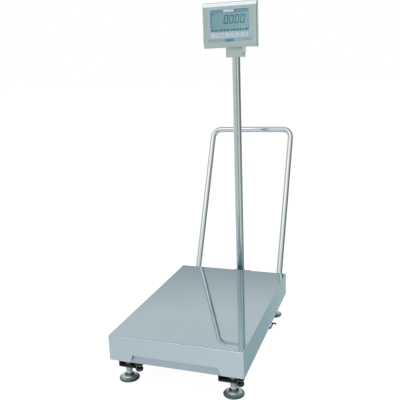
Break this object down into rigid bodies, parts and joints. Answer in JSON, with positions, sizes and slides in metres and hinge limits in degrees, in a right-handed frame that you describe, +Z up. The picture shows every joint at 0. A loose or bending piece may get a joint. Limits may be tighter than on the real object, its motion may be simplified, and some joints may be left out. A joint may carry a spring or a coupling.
{
  "type": "animal weighing scale",
  "caption": "Floor platform scale for animals: folded stainless platform on screw-adjusted feet, leaning guard rail, pole and a swivelling, tilting digital indicator.",
  "frame": {"origin": "on the floor, in the middle of the whole object's footprint (0.210 m behind the platform's own middle)", "axes": "+Z up, the front short side of the platform and the indicator's face point to -Y, +X to the right seen from the front"},
  "size_m": [0.5, 1.1813, 1.381],
  "materials": {
    "stainless_top": "polished hairline stainless",
    "stainless_tube": "polished stainless tube",
    "stainless_case": "satin stainless",
    "end_plate": "matt stainless",
    "black_frame": "black paint",
    "zinc": "zinc plated",
    "foot_metal": "polished",
    "rubber_black": "moulded",
    "aluminium": "machined",
    "overlay": "printed membrane",
    "key_white": "printed membrane",
    "lcd_glass": "clear",
    "lcd": "reflective display",
    "board": "circuit board",
    "battery": "battery sleeve",
    "vial": "clear"
  },
  "bodies": {
    "base": {"base_rails": "black_frame", "cross_members": "black_frame", "front_end_plate": "end_plate", "rear_end_plate": "end_plate", "bumper_brackets": "black_frame", "rubber_bumpers": "rubber_black", "foot_bosses": "zinc", "lock_nuts": "zinc", "load_cell": "aluminium", "load_cell_spacer_lower": "zinc", "load_cell_bolts_lower": "zinc", "overload_stops": "zinc", "pole_outrigger": "black_frame", "pole_socket": "stainless_tube", "pole_socket_bolts": "zinc", "pole": "stainless_tube", "pole_plug": "rubber_black", "guard_rail": "stainless_tube", "guard_sockets": "stainless_tube", "guard_bolts": "zinc", "level_housing": "black_frame", "level_vial": "vial", "signal_cable": "rubber_black", "cable_gland": "rubber_black"},
    "weigh_frame": {"upper_frame": "zinc", "load_cell_spacer_upper": "zinc", "load_cell_bolts_upper": "zinc", "cover_pads": "rubber_black"},
    "cover": {"cover_plate": "stainless_top"},
    "pad_fl": {"foot_pad_fl": "foot_metal"},
    "stem_fl": {"foot_stem_fl": "zinc"},
    "pad_fr": {"foot_pad_fr": "foot_metal"},
    "stem_fr": {"foot_stem_fr": "zinc"},
    "pad_rl": {"foot_pad_rl": "foot_metal"},
    "stem_rl": {"foot_stem_rl": "zinc"},
    "pad_rr": {"foot_pad_rr": "foot_metal"},
    "stem_rr": {"foot_stem_rr": "zinc"},
    "head": {"head_bracket": "stainless_case", "swivel_clamp_bolt": "zinc", "tilt_pin": "zinc"},
    "indicator": {"front_case": "stainless_case", "rear_case": "stainless_case", "case_gasket": "rubber_black", "case_screws": "zinc", "overlay_panel": "overlay", "lcd_window": "lcd_glass", "lcd_module": "lcd", "main_board": "board", "battery_pack": "battery", "tilt_yoke": "stainless_case", "yoke_screws": "zinc"},
    "key_1_body": {"key_1": "key_white"},
    "key_2_body": {"key_2": "key_white"},
    "key_3_body": {"key_3": "key_white"},
    "key_4_body": {"key_4": "key_white"},
    "key_5_body": {"key_5": "key_white"},
    "key_6_body": {"key_6": "key_white"},
    "key_long_right_body": {"key_long_right": "key_white"}
  },
  "joints": [
    {"name": "platform_sink", "type": "slide", "parent": "base", "child": "weigh_frame", "axis": [0, 0, 1], "range_m": [-0.0012, 0], "stiffness_N_per_m": 1000000, "springref_m": 0.0002, "deforming": ["load_cell"]},
    {"name": "cover_lift", "type": "slide", "parent": "weigh_frame", "child": "cover", "axis": [0, 0, 1], "range_m": [0, 0.12]},
    {"name": "foot_fl_height", "type": "slide", "parent": "base", "child": "pad_fl", "axis": [0, 0, 1], "range_m": [-0.01, 0.01]},
    {"name": "foot_fl_screw", "type": "hinge", "parent": "pad_fl", "child": "stem_fl", "pos_m": [-0.1995, -0.5435, 0.06], "axis": [0, 0, 1], "range_deg": [-1201, 1201]},
    {"name": "foot_fr_height", "type": "slide", "parent": "base", "child": "pad_fr", "axis": [0, 0, 1], "range_m": [-0.01, 0.01]},
    {"name": "foot_fr_screw", "type": "hinge", "parent": "pad_fr", "child": "stem_fr", "pos_m": [0.1995, -0.5435, 0.06], "axis": [0, 0, 1], "range_deg": [-1201, 1201]},
    {"name": "foot_rl_height", "type": "slide", "parent": "base", "child": "pad_rl", "axis": [0, 0, 1], "range_m": [-0.01, 0.01]},
    {"name": "foot_rl_screw", "type": "hinge", "parent": "pad_rl", "child": "stem_rl", "pos_m": [-0.1995, 0.1235, 0.06], "axis": [0, 0, 1], "range_deg": [-1201, 1201]},
    {"name": "foot_rr_height", "type": "slide", "parent": "base", "child": "pad_rr", "axis": [0, 0, 1], "range_m": [-0.01, 0.01]},
    {"name": "foot_rr_screw", "type": "hinge", "parent": "pad_rr", "child": "stem_rr", "pos_m": [0.1995, 0.1235, 0.06], "axis": [0, 0, 1], "range_deg": [-1201, 1201]},
    {"name": "head_swivel", "type": "hinge", "parent": "base", "child": "head", "pos_m": [0, 0.303, 1.16], "axis": [0, 0, 1], "range_deg": [-170, 170]},
    {"name": "indicator_tilt", "type": "hinge", "parent": "head", "child": "indicator", "pos_m": [0, 0.317, 1.232], "axis": [1, 0, 0], "range_deg": [-40, 0]},
    {"name": "press_1", "type": "slide", "parent": "indicator", "child": "key_1_body", "axis": [0, 1, 0], "range_m": [0, 0.0006], "stiffness_N_per_m": 300, "springref_m": -0.0005},
    {"name": "press_2", "type": "slide", "parent": "indicator", "child": "key_2_body", "axis": [0, 1, 0], "range_m": [0, 0.0006], "stiffness_N_per_m": 300, "springref_m": -0.0005},
    {"name": "press_3", "type": "slide", "parent": "indicator", "child": "key_3_body", "axis": [0, 1, 0], "range_m": [0, 0.0006], "stiffness_N_per_m": 300, "springref_m": -0.0005},
    {"name": "press_4", "type": "slide", "parent": "indicator", "child": "key_4_body", "axis": [0, 1, 0], "range_m": [0, 0.0006], "stiffness_N_per_m": 300, "springref_m": -0.0005},
    {"name": "press_5", "type": "slide", "parent": "indicator", "child": "key_5_body", "axis": [0, 1, 0], "range_m": [0, 0.0006], "stiffness_N_per_m": 300, "springref_m": -0.0005},
    {"name": "press_6", "type": "slide", "parent": "indicator", "child": "key_6_body", "axis": [0, 1, 0], "range_m": [0, 0.0006], "stiffness_N_per_m": 300, "springref_m": -0.0005},
    {"name": "press_long_right", "type": "slide", "parent": "indicator", "child": "key_long_right_body", "axis": [0, 1, 0], "range_m": [0, 0.0006], "stiffness_N_per_m": 300, "springref_m": -0.0005}
  ],
  "couplings": [
    {"joint": "foot_fl_screw", "follows": "foot_fl_height", "rad_per_m": 2094.4},
    {"joint": "foot_fr_screw", "follows": "foot_fr_height", "rad_per_m": 2094.4},
    {"joint": "foot_rl_screw", "follows": "foot_rl_height", "rad_per_m": 2094.4},
    {"joint": "foot_rr_screw", "follows": "foot_rr_height", "rad_per_m": 2094.4}
  ]
}
